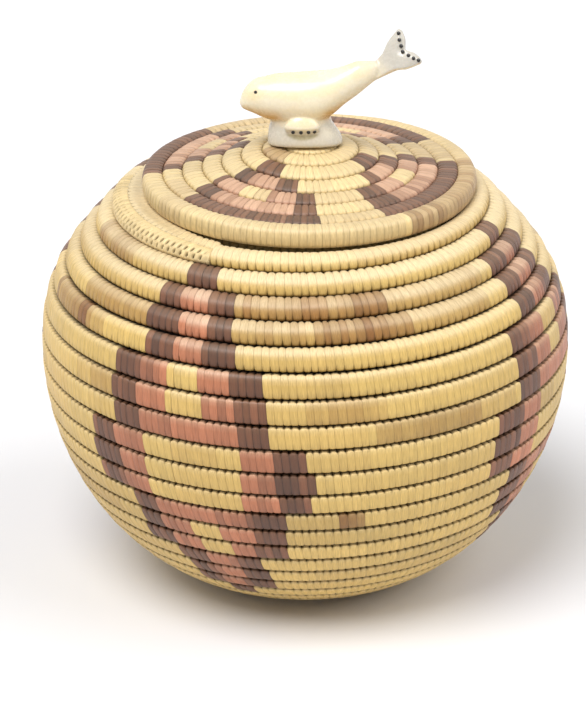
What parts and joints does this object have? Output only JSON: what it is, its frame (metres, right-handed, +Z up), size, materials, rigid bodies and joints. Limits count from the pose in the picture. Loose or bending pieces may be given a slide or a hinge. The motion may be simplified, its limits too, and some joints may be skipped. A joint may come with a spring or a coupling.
{
  "type": "lidded coiled basket",
  "caption": "Round coiled grass basket with a fitted lid, a stepped diamond pattern and a carved whale for a knob.",
  "frame": {"origin": "middle of the flat underside, on the surface that the basket stands on", "axes": "+Z up along the basket's axis, -Y to the front, +X to the right seen from the front"},
  "size_m": [0.1492, 0.1499, 0.1609],
  "materials": {
    "grass": "dry split grass with a soft sheen",
    "ivory": "polished bone white",
    "inlay": "polished black",
    "peg": "bare wood"
  },
  "bodies": {
    "basket": {"base_row_1": "grass", "base_row_2": "grass", "base_row_3": "grass", "base_row_4": "grass", "base_start": "grass", "wall_row_01": "grass", "wall_row_02": "grass", "wall_row_03": "grass", "wall_row_04": "grass", "wall_row_05": "grass", "wall_row_06": "grass", "wall_row_07": "grass", "wall_row_08": "grass", "wall_row_09": "grass", "wall_row_10": "grass", "wall_row_11": "grass", "wall_row_12": "grass", "wall_row_13": "grass", "wall_row_14": "grass", "wall_row_15": "grass", "wall_row_16": "grass", "wall_row_17": "grass", "wall_row_18": "grass", "wall_row_19": "grass", "wall_row_20": "grass", "rim_row": "grass"},
    "lid": {"lid_start": "grass", "lid_edge_row": "grass", "lid_flange": "grass", "lid_row_1": "grass", "lid_row_2": "grass", "lid_row_3": "grass", "lid_row_4": "grass", "lid_row_5": "grass", "lid_row_6": "grass", "eye_back": "inlay", "eye_front": "inlay", "flipper_dot_back_1": "inlay", "flipper_dot_back_2": "inlay", "flipper_dot_back_3": "inlay", "flipper_dot_back_4": "inlay", "flipper_dot_front_1": "inlay", "flipper_dot_front_2": "inlay", "flipper_dot_front_3": "inlay", "flipper_dot_front_4": "inlay", "fluke_dot_1": "inlay", "fluke_dot_2": "inlay", "fluke_dot_3": "inlay", "fluke_dot_4": "inlay", "fluke_dot_5": "inlay", "fluke_dot_6": "inlay", "fluke_dot_7": "inlay", "knob_peg": "peg", "whale_carving": "ivory"}
  },
  "joints": [
    {"name": "lid_lift", "type": "slide", "parent": "basket", "child": "lid", "axis": [0, 0, 1], "range_m": [0, 0.06]}
  ]
}
